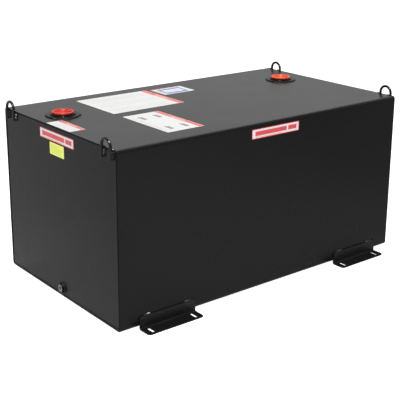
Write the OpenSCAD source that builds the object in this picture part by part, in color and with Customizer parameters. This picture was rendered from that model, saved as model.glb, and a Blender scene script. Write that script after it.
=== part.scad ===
// Truck bed transfer tank: a welded box of black sheet steel that lies across a pickup bed.
// A folded shell is closed by two rimmed heads and divided by two slosh baffles.
// Two plugged ports stand on the roof, a drain sits low in the left head, four bent bars
// at the corners take lifting hooks, and four slotted angles carry the tank over the bed.
// Origin: middle of the footprint, on the bed. +X runs along the tank, the front is at -Y.

/* [Tank] */
// Length of the tank over its end heads
tank_l = 1220; // [1000:10:1500]
// Width of the tank, front wall to back wall
tank_w = 695; // [600:5:800]
// Height of the tank, floor to roof
tank_h = 580; // [460:4:660]
// Thickness of the steel sheet of the shell, heads and baffles
sheet_t = 1.9; // [1.5:0.1:2.8]
// Outside radius of the folded edges of the shell
fold_r = 11; // [9:1:18]
// Width of the weld that closes the shell under the floor
seam_w = 3; // [2:0.5:5]
// Distance from the back wall to that weld
seam_inset = 90; // [60:5:200]

/* [Heads and baffles] */
// Depth of the rim folded inwards round each head
rim_depth = 18; // [12:1:40]
// Outside radius of the fold of a rim
rim_fold_r = 4; // [3.2:0.2:6]
// Width of the weld that joins a head to the shell
edge_weld_w = 3.2; // [2:0.2:4]
// Depth of the rims of the baffles
baffle_rim = 24; // [14:1:40]
// Length cut off each corner of a baffle, where liquid passes
baffle_corner = 45; // [30:1:80]
// Diameter of the slosh holes in the baffles
slosh_d = 100; // [60:2:116]
// Distance between the slosh holes across the tank
slosh_pitch = 210; // [150:5:230]
// Height of the slosh holes over the middle of the baffle
slosh_rise = 20; // [0:5:60]

/* [Ports on the roof] */
// Distance from the left head to the axis of the fill port
fill_inset = 100; // [90:5:200]
// Distance from the right head to the axis of the vent port
vent_inset = 130; // [90:5:200]
// Distance from the front wall to the axes of both ports
port_from_front = 474; // [420:2:500]
// Outside diameter of the welded port flange
flange_d = 114; // [104:1:140]
// Thickness of the flange above the roof
flange_t = 4.5; // [4:0.5:10]
// Diameter of the raised hub in the middle of the flange
hub_d = 88; // [84:1:96]
// Height of the hub over the flange
hub_h = 3.5; // [2:0.5:8]
// Diameter of the spigot of the flange, which passes through the roof
spigot_d = 76; // [72:1:90]
// Length of the spigot below the top of the roof
spigot_l = 10; // [6:0.5:16]
// Diameter of the bore of the port
port_bore_d = 60.6; // [56:0.2:64]
// Leg of the fillet weld round a flange
flange_weld = 3.5; // [3:0.5:5]

/* [Port plugs] */
// Diameter of the head of a plug
plug_head_d = 74; // [70:1:84]
// Thickness of the head of a plug
plug_head_t = 5; // [4:0.5:10]
// Length of the shank below the head
plug_shank_l = 23; // [16:1:34]
// Wall of the hollow shank
plug_wall = 4; // [3:0.5:6]
// Diameter of the dish at its mouth
dish_d = 60; // [52:1:64]
// Depth of the dish in the head
dish_depth = 8; // [6:0.5:12]
// Thickness of the gasket under the head
gasket_t = 1.5; // [1:0.25:3]
// Radial clearance of the shank in the bore
plug_clearance = 0.35; // [0.2:0.05:0.6]

/* [Drain] */
// Height of the axis of the drain over the floor of the tank
drain_z = 28; // [26:1:60]
// Outside diameter of the drain boss
drain_boss_d = 38; // [36:1:42]
// How far the boss stands out of the left head
drain_boss_out = 9; // [7:0.5:9.5]
// How far the boss reaches into the tank
drain_boss_in = 12; // [8:0.5:24]
// Diameter of the drain bore
drain_bore_d = 26.6; // [22:0.2:28]
// Length of the drain plug
drain_plug_l = 16; // [12:0.5:18]
// Width across the flats of the socket in the plug
socket_af = 12.7; // [10:0.1:16]
// Depth of that socket
socket_depth = 9; // [6:0.5:10]
// Radial clearance of the plug in the drain bore
drain_clearance = 0.3; // [0.2:0.05:0.6]

/* [Lift loops] */
// Diameter of the bent bar
bar_d = 9.5; // [9.5:0.5:14]
// Distance between the axes of the two legs of a loop
loop_pitch = 48; // [40:1:60]
// Height of the top of a loop over the roof
loop_rise = 33; // [32:1:50]
// Length of the legs below the roof
loop_leg = 33; // [28:1:60]
// Distance from the front or back wall to the middle of a loop
loop_inset = 50; // [46:1:80]
// Leg of the fillet welds beside the legs
loop_weld = 4; // [2:0.5:4.5]

/* [Mounting angles] */
// Height of the floor of the tank over the bed
bed_gap = 10; // [8:1:20]
// Length of an angle along the tank
angle_l = 218; // [180:2:300]
// Width of the leg that lies on the bed
angle_foot = 52; // [50:1:80]
// Height of the leg welded to the wall, over the bed
angle_wall = 45; // [42:1:70]
// Thickness of the angle
angle_t = 4; // [3:0.5:6]
// Inside radius of the bend of the angle
angle_bend_r = 3; // [2:0.5:6]
// Radius of the outer corners of the foot
angle_corner_r = 12; // [4:1:16]
// Distance from an end of the tank to the angle
angle_inset = 71; // [40:1:120]
// Length of a slot, end to end
slot_l = 34; // [22:1:36]
// Width of a slot
slot_w = 10.5; // [9:0.5:14]
// Distance from an end of the angle to the middle of a slot
slot_inset = 25; // [16:1:40]
// Distance from the outer edge of the foot to the middle of a slot
slot_edge = 25; // [22:1:27]
// Length of each weld on the top edge of an angle
stitch_l = 30; // [16:1:50]
// Leg of those welds
stitch_leg = 4; // [3:0.5:5]
// Distance from an end of the angle to its weld
stitch_inset = 14; // [6:1:30]

/* [Labels] */
// Thickness of the stuck-on labels
label_t = 0.3; // [0.2:0.05:0.6]
// Radius of the corners of the labels
label_r = 3; // [1:0.5:8]
// Length of the long labels on the front and on the left head
long_label_l = 210; // [160:2:240]
// Height of the long labels
long_label_h = 33; // [24:1:40]
// Distance from the roof to the middle of the long labels
long_label_drop = 35; // [30:1:60]
// Distance from the middle of the front wall to its label
front_label_shift = 16; // [-60:1:60]
// Distance from the left head to the large label on the roof
large_label_start = 243; // [230:1:260]
// Distance from the back wall to the large label
large_label_back = 68; // [50:1:80]
// Distance from the large label to the small label behind it
back_label_gap = 16; // [8:1:60]
// Distance from the back wall to that label
back_label_back = 78; // [40:1:120]
// Distance from the left head to the label beside the fill port
edge_label_gap = 3; // [1:0.5:10]
// Length of the yellow label on the left head
yellow_label_l = 88; // [60:1:110]
// Height of the yellow label
yellow_label_h = 40; // [30:1:60]
// Distance from the roof to the middle of the yellow label
yellow_label_drop = 76; // [75:1:100]

/* [Hidden] */

// Clearance between sheets and rounds that are fitted and then welded
fit_gap = 0.3;
// Cutters run this far past the faces that they cut
over = 1;
// Facets of full rounds and of small rounds
fn_round = 96;
fn_bar = 48;

// Heights over the bed: floor of the tank, its middle and its roof
floor_z = bed_gap;
mid_z = floor_z + tank_h / 2;
roof_z = floor_z + tank_h;

// Inside of the shell
shell_in_w = tank_w - 2 * sheet_t;
shell_in_h = tank_h - 2 * sheet_t;
shell_in_r = fold_r - sheet_t;

// Heads and baffles are folded to slip into the shell
panel_w = shell_in_w - 2 * fit_gap;
panel_h = shell_in_h - 2 * fit_gap;
panel_r = shell_in_r - fit_gap;
rim_relief = fold_r + rim_fold_r + 2;
edge_weld_t = 0.6 * sheet_t;
baffle_x = tank_l / 6;

// Ports
fill_x = -tank_l / 2 + fill_inset;
vent_x = tank_l / 2 - vent_inset;
port_y = -tank_w / 2 + port_from_front;
flange_top = roof_z + flange_t + hub_h;
flange_bevel = 1;
hub_bevel = 0.8;
gasket_d = plug_head_d - 4;
plug_head_z = flange_top + gasket_t;
shank_r = port_bore_d / 2 - plug_clearance;
dish_floor_t = 2.5;
dish_draft = 3;
lug_w = 9;
lug_reach = 8;

// Drain
head_face_x = -tank_l / 2;
drain_axis_z = floor_z + drain_z;
drain_bore_r = drain_bore_d / 2;
drain_plug_r = drain_bore_r - drain_clearance;
drain_seat = 0.8;
drain_weld = 3.5;

// Lift loops
bar_r = bar_d / 2;
loop_r = loop_pitch / 2;
loop_x = tank_l / 2 + bar_r + 0.1;
loop_y = tank_w / 2 - loop_inset;
loop_arc_z = roof_z + loop_rise - bar_r - loop_r;
loop_weld_l = loop_leg - 7;

// Mounting angles
angle_x = tank_l / 2 - angle_inset - angle_l / 2;
angle_outer_r = angle_bend_r + angle_t;
slot_reach = angle_foot - slot_edge;

// Labels on the roof, each [length along X, width along Y]
edge_label = [58, 145];
edge_label_at = [
    -tank_l / 2 + edge_label_gap + edge_label[0] / 2,
    port_y - flange_d / 2 - flange_weld - edge_label[1] / 2
];
large_label = [298, 242];
large_label_at = [
    -tank_l / 2 + large_label_start + large_label[0] / 2,
    tank_w / 2 - large_label_back - large_label[1] / 2
];
// The middle label lies between the large one and the front wall, a little nearer the large one
middle_label = [145, 252];
middle_label_lift = 14;
middle_label_at = [
    -tank_l / 2 + large_label_start + middle_label[0] / 2,
    (large_label_at[1] - large_label[1] / 2 - tank_w / 2) / 2 + middle_label_lift
];
back_label = [138, 96];
back_label_at = [
    large_label_at[0] + large_label[0] / 2 + back_label_gap + back_label[0] / 2,
    tank_w / 2 - back_label_back - back_label[1] / 2
];

// Colours
steel_paint = [0.10, 0.105, 0.115];
weld_paint = [0.14, 0.145, 0.155];
red_plastic = [0.80, 0.12, 0.07];
orange_plastic = [0.88, 0.25, 0.08];
rubber_black = [0.05, 0.05, 0.05];
bare_steel = [0.70, 0.71, 0.72];
paper_white = [0.90, 0.90, 0.89];
label_yellow = [0.88, 0.88, 0.30];

// Rectangle with round corners, centred, from squares and true circles
module round_rect(w, h, r) {
    square([w - 2 * r, h], center = true);
    square([w, h - 2 * r], center = true);
    for (sx = [-1, 1], sy = [-1, 1])
        translate([sx * (w / 2 - r), sy * (h / 2 - r)])
            circle(r, $fn = fn_round);
}

// Turns a flat outline drawn across the tank (y, z) into a slab from x = 0 to x = t
module across(t) {
    rotate([90, 0, 90]) linear_extrude(height = t) children();
}

// Section of a folded rim: quarter bend, then the straight leg; u is depth, v is outwards
module rim_section(depth) {
    intersection() {
        translate([rim_fold_r, 0]) difference() {
            circle(rim_fold_r, $fn = fn_round);
            circle(rim_fold_r - sheet_t, $fn = fn_round);
        }
        square(rim_fold_r);
    }
    translate([rim_fold_r, rim_fold_r - sheet_t])
        square([depth - rim_fold_r, sheet_t]);
}

// Half the size of a panel towards side k, and the length of the rim on that side
function panel_half(k) = (k % 2 == 0 ? panel_h : panel_w) / 2;
function rim_len(k, relief) = 2 * panel_half(k + 1) - 2 * relief;

// Sheet panel centred on the tank's axis, with its face at x = 0 and its four rims towards +X.
// The children are the outline of the flat face.
module folded_panel(depth, relief) {
    translate([0, 0, mid_z]) {
        across(sheet_t) difference() {
            children();
            for (k = [0:3])
                rotate(90 * k)
                    translate([-rim_len(k, relief) / 2, panel_half(k) - rim_fold_r])
                        square([rim_len(k, relief), rim_fold_r + over]);
        }
        for (k = [0:3])
            rotate([90 * k, 0, 0])
                translate([0, 0, panel_half(k) - rim_fold_r])
                    rotate([90, 0, 0])
                        linear_extrude(height = rim_len(k, relief), center = true)
                            rim_section(depth);
    }
}

// Ring that the edge weld fills, between the shell and the face of a head
module edge_weld_ring() {
    translate([0, 0, mid_z]) across(edge_weld_t) difference() {
        round_rect(shell_in_w, shell_in_h, shell_in_r);
        round_rect(shell_in_w - 2 * edge_weld_w, shell_in_h - 2 * edge_weld_w,
            shell_in_r - edge_weld_w);
    }
}

// Folded shell: floor, walls and roof in one sheet, open at both ends
module shell() {
    color(steel_paint) difference() {
        translate([-tank_l / 2, 0, mid_z]) across(tank_l) difference() {
            round_rect(tank_w, tank_h, fold_r);
            round_rect(shell_in_w, shell_in_h, shell_in_r);
        }
        translate([-tank_l / 2 - over, tank_w / 2 - seam_inset - seam_w / 2, floor_z - over])
            cube([tank_l + 2 * over, seam_w, sheet_t + 2 * over]);
        for (x = [fill_x, vent_x])
            translate([x, port_y, roof_z - sheet_t - over])
                cylinder(h = sheet_t + 2 * over, d = spigot_d + 2 * fit_gap, $fn = fn_round);
    }
}

// Weld that closes the shell along the floor, ground flush
module seam_weld() {
    color(weld_paint)
        translate([-tank_l / 2, tank_w / 2 - seam_inset - seam_w / 2, floor_z])
            cube([tank_l, seam_w, sheet_t]);
}

// Head at the left end, without its drain hole
module plain_head() {
    translate([head_face_x, 0, 0]) difference() {
        folded_panel(rim_depth, rim_relief) round_rect(panel_w, panel_h, panel_r);
        translate([-over, 0, 0]) edge_weld_cut();
    }
}

// Groove that the edge weld fills, run out past the face of the head
module edge_weld_cut() {
    translate([0, 0, mid_z]) across(over + edge_weld_t) difference() {
        square([tank_w, tank_h], center = true);
        round_rect(shell_in_w - 2 * edge_weld_w, shell_in_h - 2 * edge_weld_w,
            shell_in_r - edge_weld_w);
    }
}

module left_head() {
    color(steel_paint) difference() {
        plain_head();
        translate([head_face_x - over, 0, drain_axis_z]) rotate([0, 90, 0])
            cylinder(h = sheet_t + 2 * over, d = drain_boss_d + 2 * fit_gap, $fn = fn_round);
    }
}

module right_head() {
    color(steel_paint) mirror([1, 0, 0]) plain_head();
}

module left_head_weld() {
    color(weld_paint) translate([head_face_x, 0, 0]) edge_weld_ring();
}

module right_head_weld() {
    mirror([1, 0, 0]) left_head_weld();
}

// Slosh baffle: rimmed sheet with open corners and two round holes
module baffle() {
    color(steel_paint) folded_panel(baffle_rim, baffle_corner + 4) difference() {
        square([panel_w, panel_h], center = true);
        for (sx = [-1, 1], sy = [-1, 1])
            translate([sx * panel_w / 2, sy * panel_h / 2])
                rotate(45)
                    square(baffle_corner * sqrt(2), center = true);
        for (s = [-1, 1])
            translate([s * slosh_pitch / 2, slosh_rise])
                circle(d = slosh_d, $fn = fn_round);
    }
}

module left_baffle() {
    translate([-baffle_x, 0, 0]) baffle();
}

module right_baffle() {
    mirror([1, 0, 0]) left_baffle();
}

// Welded port flange: bevelled disc with a raised hub, a spigot through the roof and a bore
module port_flange(x) {
    r_bore = port_bore_d / 2;
    hub_r = hub_d / 2;
    hub_top = flange_t + hub_h;
    color(steel_paint) translate([x, port_y, roof_z]) rotate_extrude($fn = fn_round)
        polygon([
            [r_bore, -spigot_l],
            [spigot_d / 2, -spigot_l],
            [spigot_d / 2, 0],
            [flange_d / 2, 0],
            [flange_d / 2, flange_t - flange_bevel],
            [flange_d / 2 - flange_bevel, flange_t],
            [hub_r, flange_t],
            [hub_r, hub_top - hub_bevel],
            [hub_r - hub_bevel, hub_top],
            [r_bore + 1, hub_top],
            [r_bore, hub_top - 1]
        ]);
}

module fill_flange() {
    port_flange(fill_x);
}

module vent_flange() {
    port_flange(vent_x);
}

// Fillet weld round a disc or boss of radius r that stands on a face at z = 0
module fillet_ring(r, leg) {
    rotate_extrude($fn = fn_round) difference() {
        translate([r, 0]) square(leg);
        translate([r + 1.35 * leg, 1.35 * leg]) circle(1.2 * leg, $fn = fn_round);
    }
}

module fill_flange_weld() {
    color(weld_paint) translate([fill_x, port_y, roof_z]) fillet_ring(flange_d / 2, flange_weld);
}

module vent_flange_weld() {
    color(weld_paint) translate([vent_x, port_y, roof_z]) fillet_ring(flange_d / 2, flange_weld);
}

// Screw plug of moulded plastic: dished head with two spanner lugs, hollow shank
module port_plug(x) {
    head_r = plug_head_d / 2;
    rim_r = min(2, plug_head_t / 2.5);
    dish_r = dish_d / 2;
    floor_r = dish_r - dish_draft;
    dish_z = plug_head_t - dish_depth;
    translate([x, port_y, plug_head_z]) {
        rotate_extrude($fn = fn_round) difference() {
            union() {
                square([head_r - rim_r, plug_head_t]);
                square([head_r, plug_head_t - rim_r]);
                translate([head_r - rim_r, plug_head_t - rim_r]) circle(rim_r, $fn = fn_bar);
                translate([0, -plug_shank_l]) square([shank_r, plug_shank_l + over]);
            }
            polygon([
                [-over, plug_head_t + over],
                [dish_r + 0.3, plug_head_t + over],
                [dish_r, plug_head_t],
                [floor_r, dish_z],
                [-over, dish_z]
            ]);
            translate([-over, -plug_shank_l - over])
                square([shank_r - plug_wall + over, plug_shank_l + over + dish_z - dish_floor_t]);
            translate([-2 * over, -plug_shank_l - over])
                square([2 * over, plug_shank_l + plug_head_t + 2 * over]);
        }
        intersection() {
            translate([0, 0, dish_z - dish_floor_t / 2])
                cylinder(h = dish_depth + dish_floor_t / 2 - 2, r = floor_r + 0.5, $fn = fn_round);
            for (s = [-1, 1])
                translate([s * (floor_r - lug_reach / 2 + 1), 0, 0])
                    cube([lug_reach + 2, lug_w, 3 * dish_depth], center = true);
        }
    }
}

module fill_plug() {
    color(red_plastic) port_plug(fill_x);
}

module vent_plug() {
    color(orange_plastic) port_plug(vent_x);
}

// Flat rubber ring between the head of a plug and its flange
module port_gasket(x) {
    color(rubber_black) translate([x, port_y, flange_top]) difference() {
        cylinder(h = gasket_t, d = gasket_d, $fn = fn_round);
        translate([0, 0, -over])
            cylinder(h = gasket_t + 2 * over, r = shank_r + plug_clearance, $fn = fn_round);
    }
}

module fill_gasket() {
    port_gasket(fill_x);
}

module vent_gasket() {
    port_gasket(vent_x);
}

// Points x of the children from the left head outwards: their z = 0 lies on its face
module on_drain_axis() {
    translate([head_face_x, 0, drain_axis_z]) rotate([0, -90, 0]) children();
}

// Half coupling welded through the left head
module drain_boss() {
    boss_r = drain_boss_d / 2;
    color(steel_paint) on_drain_axis() rotate_extrude($fn = fn_round)
        polygon([
            [drain_bore_r, -drain_boss_in],
            [boss_r, -drain_boss_in],
            [boss_r, drain_boss_out - 1.2],
            [boss_r - 1.2, drain_boss_out],
            [drain_bore_r, drain_boss_out]
        ]);
}

module drain_boss_weld() {
    color(weld_paint) on_drain_axis() fillet_ring(drain_boss_d / 2, drain_weld);
}

// Bare steel pipe plug with a six-sided socket, screwed in just below the face of the boss
module drain_plug() {
    plug_end = drain_boss_out - drain_seat;
    color(bare_steel) on_drain_axis() difference() {
        rotate_extrude($fn = fn_round)
            polygon([
                [0, plug_end - drain_plug_l],
                [drain_plug_r - 1, plug_end - drain_plug_l],
                [drain_plug_r, plug_end - drain_plug_l + 1],
                [drain_plug_r, plug_end - 1],
                [drain_plug_r - 1, plug_end],
                [0, plug_end]
            ]);
        translate([0, 0, plug_end - socket_depth])
            cylinder(h = socket_depth + over, d = socket_af / cos(30), $fn = 6);
    }
}

// Lift loop: round bar bent to a hairpin, its two legs down the face of a head
module lift_loop(sx, sy) {
    color(steel_paint) translate([sx * loop_x, sy * loop_y, loop_arc_z]) {
        rotate([90, 0, 90])
            rotate_extrude(angle = 180, $fn = fn_round)
                translate([loop_r, 0]) circle(bar_r, $fn = fn_bar);
        for (s = [-1, 1])
            translate([0, s * loop_r, roof_z - loop_leg - loop_arc_z])
                cylinder(h = loop_arc_z - roof_z + loop_leg, r = bar_r, $fn = fn_bar);
    }
}

// Fillet welds on both sides of both legs of a loop
module loop_weld_set(sx, sy) {
    for (leg = [-1, 1], side = [-1, 1])
        translate([sx * tank_l / 2, sy * loop_y + leg * loop_r, roof_z - loop_leg + 2])
            linear_extrude(height = loop_weld_l) difference() {
                polygon([
                    [0, side * 1.5],
                    [0, side * (bar_r + loop_weld)],
                    [sx * bar_r, side * (bar_r + 0.5)],
                    [sx * bar_r, side * 1.5]
                ]);
                translate([sx * (bar_r + 0.1), 0]) circle(bar_r + 0.1, $fn = fn_bar);
            }
}

module front_left_loop() {
    lift_loop(-1, -1);
}

module front_right_loop() {
    lift_loop(1, -1);
}

module back_left_loop() {
    lift_loop(-1, 1);
}

module back_right_loop() {
    lift_loop(1, 1);
}

module left_loop_welds() {
    color(weld_paint) for (sy = [-1, 1]) loop_weld_set(-1, sy);
}

module right_loop_welds() {
    color(weld_paint) for (sy = [-1, 1]) loop_weld_set(1, sy);
}

// Section of an angle: v is outwards from the wall, w is up
module angle_section() {
    translate([angle_outer_r, 0]) square([angle_foot - angle_outer_r, angle_t]);
    translate([0, angle_outer_r]) square([angle_t, angle_wall - angle_outer_r]);
    intersection() {
        square(angle_outer_r);
        translate([angle_outer_r, angle_outer_r]) difference() {
            circle(angle_outer_r, $fn = fn_round);
            circle(angle_bend_r, $fn = fn_round);
        }
    }
}

// Plan of the foot: square at the wall, round at the two outer corners
module foot_plan() {
    translate([-angle_l / 2, 0]) square([angle_l, angle_foot - angle_corner_r]);
    translate([-angle_l / 2 + angle_corner_r, 0])
        square([angle_l - 2 * angle_corner_r, angle_foot]);
    for (s = [-1, 1])
        translate([s * (angle_l / 2 - angle_corner_r), angle_foot - angle_corner_r])
            circle(angle_corner_r, $fn = fn_bar);
}

// Mounting angle on the back wall, with its foot pointing to +Y
module mounting_angle(sx) {
    translate([sx * angle_x, tank_w / 2, 0]) difference() {
        intersection() {
            translate([-angle_l / 2, 0, 0]) rotate([90, 0, 90])
                linear_extrude(height = angle_l) angle_section();
            linear_extrude(height = angle_wall) foot_plan();
        }
        for (s = [-1, 1])
            translate([s * (angle_l / 2 - slot_inset), slot_reach, -over])
                slot_cutter(angle_t + 2 * over);
    }
}

// Straight slot with true round ends, along Y
module slot_cutter(h) {
    for (s = [-1, 1])
        translate([0, s * (slot_l - slot_w) / 2, 0]) cylinder(h = h, d = slot_w, $fn = fn_bar);
    translate([-slot_w / 2, -(slot_l - slot_w) / 2, 0]) cube([slot_w, slot_l - slot_w, h]);
}

module front_left_angle() {
    color(steel_paint) mirror([0, 1, 0]) mounting_angle(-1);
}

module front_right_angle() {
    color(steel_paint) mirror([0, 1, 0]) mounting_angle(1);
}

module back_left_angle() {
    color(steel_paint) mounting_angle(-1);
}

module back_right_angle() {
    color(steel_paint) mounting_angle(1);
}

// Short bead with round ends, in the corner between the wall and the top edge of an angle
module stitch() {
    intersection() {
        union() {
            rotate([0, 90, 0])
                cylinder(h = stitch_l - 2 * stitch_leg, r = stitch_leg, center = true, $fn = fn_bar);
            for (s = [-1, 1])
                translate([s * (stitch_l / 2 - stitch_leg), 0, 0])
                    sphere(stitch_leg, $fn = fn_bar);
        }
        translate([-stitch_l, 0, 0]) cube([2 * stitch_l, 2 * stitch_leg, 2 * stitch_leg]);
    }
}

module angle_welds() {
    for (sx = [-1, 1], s = [-1, 1])
        translate([
            sx * angle_x + s * (angle_l / 2 - stitch_inset - stitch_l / 2),
            tank_w / 2,
            angle_wall
        ])
            stitch();
}

module front_angle_welds() {
    color(weld_paint) mirror([0, 1, 0]) angle_welds();
}

module back_angle_welds() {
    color(weld_paint) angle_welds();
}

// Label stuck to the roof, size [along X, along Y], centred at a point of the roof
module roof_label(size, at) {
    color(paper_white) translate([at[0], at[1], roof_z])
        linear_extrude(height = label_t) round_rect(size[0], size[1], label_r);
}

module front_label() {
    color(paper_white)
        translate([front_label_shift, -tank_w / 2, roof_z - long_label_drop])
            rotate([90, 0, 0])
                linear_extrude(height = label_t) round_rect(long_label_l, long_label_h, label_r);
}

// Label on the face of the left head, centred over its middle
module head_label(l, h, drop) {
    translate([head_face_x - label_t, 0, roof_z - drop]) across(label_t) round_rect(l, h, label_r);
}

module end_label() {
    color(paper_white) head_label(long_label_l, long_label_h, long_label_drop);
}

module yellow_label() {
    color(label_yellow) head_label(yellow_label_l, yellow_label_h, yellow_label_drop);
}

module roof_edge_label() {
    roof_label(edge_label, edge_label_at);
}

module roof_large_label() {
    roof_label(large_label, large_label_at);
}

module roof_middle_label() {
    roof_label(middle_label, middle_label_at);
}

module roof_back_label() {
    roof_label(back_label, back_label_at);
}

shell();
seam_weld();
left_head();
right_head();
left_head_weld();
right_head_weld();
left_baffle();
right_baffle();
fill_flange();
vent_flange();
fill_flange_weld();
vent_flange_weld();
fill_plug();
vent_plug();
fill_gasket();
vent_gasket();
drain_boss();
drain_boss_weld();
drain_plug();
front_left_loop();
front_right_loop();
back_left_loop();
back_right_loop();
left_loop_welds();
right_loop_welds();
front_left_angle();
front_right_angle();
back_left_angle();
back_right_angle();
front_angle_welds();
back_angle_welds();
front_label();
end_label();
yellow_label();
roof_edge_label();
roof_large_label();
roof_middle_label();
roof_back_label();
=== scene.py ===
# %% [markdown]
# # Truck bed transfer tank
#
# A welded box of black, powder coated sheet steel, with two plastic plugs in the ports on its
# roof, a pipe plug low in its left head, four lift loops and four slotted angles.
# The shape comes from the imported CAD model, which this script loads as a fixed frame.
# What is added here is what a shape program leaves plain: the ripples of the weld beads, the
# threads of the plugs and ports, the print on the labels, the paint, the light and the camera.

# %% Load the frame
import math

import bpy
import numpy as np
from mathutils import Matrix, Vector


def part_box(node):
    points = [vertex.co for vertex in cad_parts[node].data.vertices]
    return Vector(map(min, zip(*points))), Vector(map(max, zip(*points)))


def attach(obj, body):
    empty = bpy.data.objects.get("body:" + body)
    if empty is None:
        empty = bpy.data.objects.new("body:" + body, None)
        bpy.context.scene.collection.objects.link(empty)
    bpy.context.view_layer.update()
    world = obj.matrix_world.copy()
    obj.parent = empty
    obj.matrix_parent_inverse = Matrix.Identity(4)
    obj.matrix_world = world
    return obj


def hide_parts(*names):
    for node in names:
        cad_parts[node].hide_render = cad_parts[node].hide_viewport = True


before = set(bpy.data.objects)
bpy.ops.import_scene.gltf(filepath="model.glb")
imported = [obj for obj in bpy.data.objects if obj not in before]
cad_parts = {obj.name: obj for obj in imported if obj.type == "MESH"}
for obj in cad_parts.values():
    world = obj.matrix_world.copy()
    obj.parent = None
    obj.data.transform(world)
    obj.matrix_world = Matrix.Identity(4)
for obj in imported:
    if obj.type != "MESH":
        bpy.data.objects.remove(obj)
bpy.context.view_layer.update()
MM = 0.001


def corners(node):
    """Lowest and highest corner of a CAD node as numpy arrays, in metres."""
    low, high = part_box(node)
    return np.array(low), np.array(high)


shell_low, shell_high = corners("shell")
LEFT_FACE = shell_low[0]
RIGHT_FACE = shell_high[0]
UNDERSIDE = shell_low[2]
ROOF = shell_high[2]
HALF_WIDTH = shell_high[1]
print(f"{len(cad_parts)} CAD nodes; the shell is {2 * RIGHT_FACE:.3f} m long, its roof at {ROOF:.3f} m")

# %% [markdown]
# ## Camera
#
# The photograph was taken from the front left, a little above the roof. Seven corners of the
# box gave the camera's place, its angles and its focal length in pixels. A focal length in
# pixels becomes millimetres when it is multiplied by the sensor's width and divided by the
# width of the frame. The verticals of the photograph are nearly parallel, as with a lens that
# is shifted down, so the camera has a small shift too.

# %% Camera at the photograph's angle
FRAME_PIXELS = 400
SENSOR_MM = 36.0
FOCAL_PIXELS = 928.9
SHIFT_DOWN_PIXELS = 40
CAMERA_AT = (-2.0279, -2.5100, 1.3265)
CAMERA_AZIMUTH = math.radians(-38.574)
CAMERA_ELEVATION = math.radians(16.467)
CAMERA_ROLL = math.radians(0.416)


def camera_axes(azimuth, elevation, roll):
    """The camera's right, up and back directions. Back points from the tank to the camera."""
    back = np.array([
        math.sin(azimuth) * math.cos(elevation),
        -math.cos(azimuth) * math.cos(elevation),
        math.sin(elevation),
    ])
    right = np.array([math.cos(azimuth), math.sin(azimuth), 0.0])
    up = np.cross(back, right)
    turned_right = right * math.cos(roll) + up * math.sin(roll)
    turned_up = -right * math.sin(roll) + up * math.cos(roll)
    return turned_right, turned_up, back


def add_camera():
    """Camera whose matrix has the three axes as its columns and its place as the last one."""
    data = bpy.data.cameras.new("camera")
    data.sensor_width = SENSOR_MM
    data.lens = FOCAL_PIXELS * SENSOR_MM / FRAME_PIXELS
    data.shift_y = -SHIFT_DOWN_PIXELS / FRAME_PIXELS
    data.clip_end = 100
    camera = bpy.data.objects.new("camera", data)
    bpy.context.scene.collection.objects.link(camera)
    right, up, back = camera_axes(CAMERA_AZIMUTH, CAMERA_ELEVATION, CAMERA_ROLL)
    matrix = np.eye(4)
    matrix[:3, :3] = np.column_stack([right, up, back])
    matrix[:3, 3] = CAMERA_AT
    camera.matrix_world = Matrix(matrix.tolist())
    bpy.context.scene.camera = camera
    return camera


camera = add_camera()
print(f"lens {camera.data.lens:.1f} mm, shift {camera.data.shift_y:.2f}")

# %% [markdown]
# ## From grids of points to pieces
#
# Every new piece is a closed surface with two parameters: one runs round or along the piece,
# the other across it. Numpy works out all points at once, as an array of rows, columns and
# x, y, z. The rows and columns are then joined to four-sided faces. Points that coincide, such
# as those at a pole, are made one point, and a face that loses a corner becomes a triangle.
# The volume that a closed surface holds comes out negative when its faces point inwards, and
# that is how a wrong side is found and turned.

# %% Skins and pieces
SAME_POINT = 1e-7


def skin(grid, closed_rows=True, closed_columns=False):
    """Points and faces of a grid of points, shape (rows, columns, 3), with its seams closed."""
    rows, columns = grid.shape[:2]
    row = np.arange(rows if closed_rows else rows - 1)
    column = np.arange(columns if closed_columns else columns - 1)
    r, c = np.meshgrid(row, column, indexing="ij")
    r_next, c_next = (r + 1) % rows, (c + 1) % columns
    quads = np.stack([
        r * columns + c,
        r_next * columns + c,
        r_next * columns + c_next,
        r * columns + c_next,
    ], axis=-1).reshape(-1, 4)
    keys = np.round(grid.reshape(-1, 3) / SAME_POINT).astype(np.int64)
    _, first, merged = np.unique(keys, axis=0, return_index=True, return_inverse=True)
    return grid.reshape(-1, 3)[first], merged.reshape(-1)[quads]


def clean_faces(quads):
    """Splits merged quads into whole quads and triangles. Faces with less than 3 corners go."""
    nxt = np.roll(quads, -1, axis=1)
    repeated = quads == nxt
    whole = quads[~repeated.any(axis=1)]
    pinched = quads[repeated.sum(axis=1) == 1]
    keep = ~repeated[repeated.sum(axis=1) == 1]
    triangles = pinched[keep].reshape(-1, 3)
    return whole, triangles


def volume(points, whole, triangles):
    """Signed volume: the sum of the tetrahedra between each triangle and the origin."""
    split = np.concatenate([whole[:, [0, 1, 2]], whole[:, [0, 2, 3]], triangles])
    a, b, c = (points[split[:, k]] for k in range(3))
    return np.einsum("ij,ij->i", a, np.cross(b, c)).sum() / 6


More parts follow.
